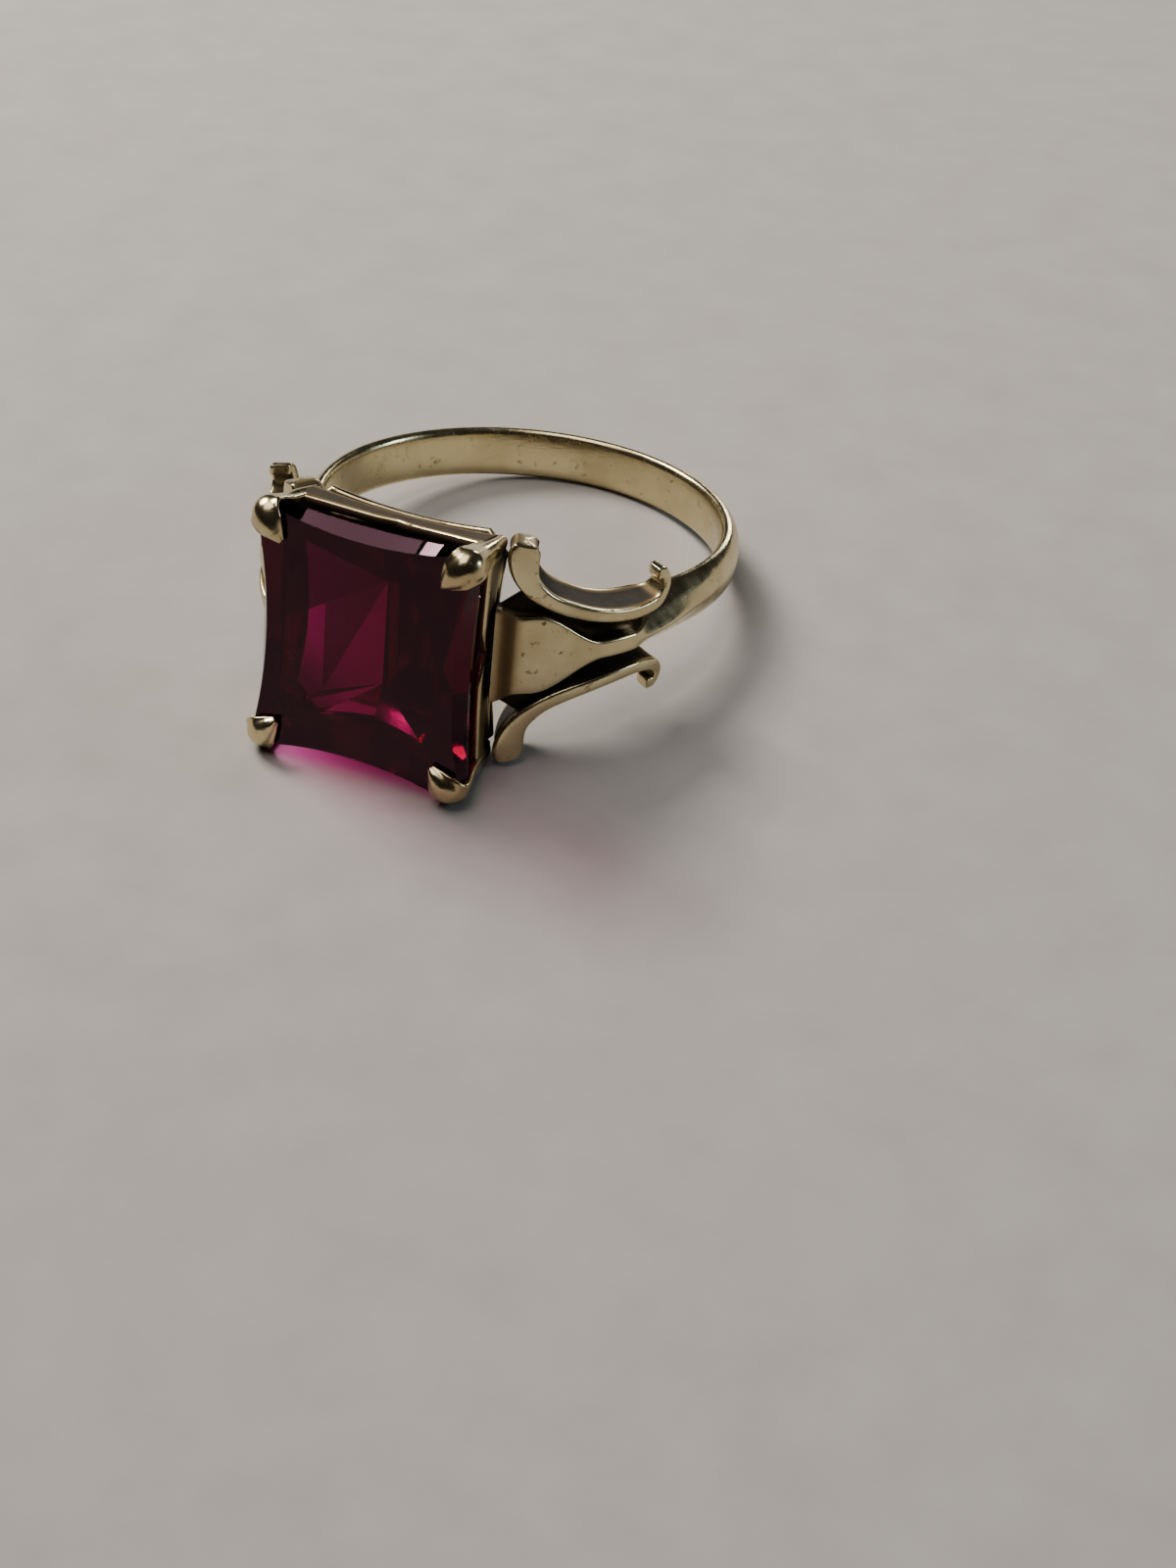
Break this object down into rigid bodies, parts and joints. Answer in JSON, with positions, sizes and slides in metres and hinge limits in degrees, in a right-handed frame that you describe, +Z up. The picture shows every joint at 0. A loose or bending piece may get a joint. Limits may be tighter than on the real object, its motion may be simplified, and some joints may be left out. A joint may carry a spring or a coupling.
{
  "type": "engagement ring",
  "caption": "Finger ring with a large hollow-sided red stone in a clawed gallery, scrolled shoulders and a plain D-section hoop.",
  "frame": {"origin": "centre of the ring's box, on the surface it lies on", "axes": "the ring lies on its side: +Z up from the surface, -Y towards the stone, +X to the right when facing the stone"},
  "size_m": [0.0188, 0.0248, 0.0106],
  "materials": {
    "hoop_gold": "worn polish",
    "shoulder_gold": "worn polish, dark in the grooves",
    "gallery_gold": "worn and tarnished",
    "red_stone": "polished facets"
  },
  "bodies": {
    "root": {"shank_hoop": "hoop_gold", "shoulder_fan_right": "shoulder_gold", "shoulder_fan_left": "shoulder_gold", "scroll_upper_right": "shoulder_gold", "scroll_lower_right": "shoulder_gold", "scroll_upper_left": "shoulder_gold", "scroll_lower_left": "shoulder_gold", "gallery_right": "gallery_gold", "gallery_left": "gallery_gold", "gallery_top": "gallery_gold", "gallery_bottom": "gallery_gold", "base_rail": "gallery_gold", "claw_top_right": "gallery_gold", "claw_bottom_right": "gallery_gold", "claw_top_left": "gallery_gold", "claw_bottom_left": "gallery_gold", "stone": "red_stone"}
  },
  "joints": []
}
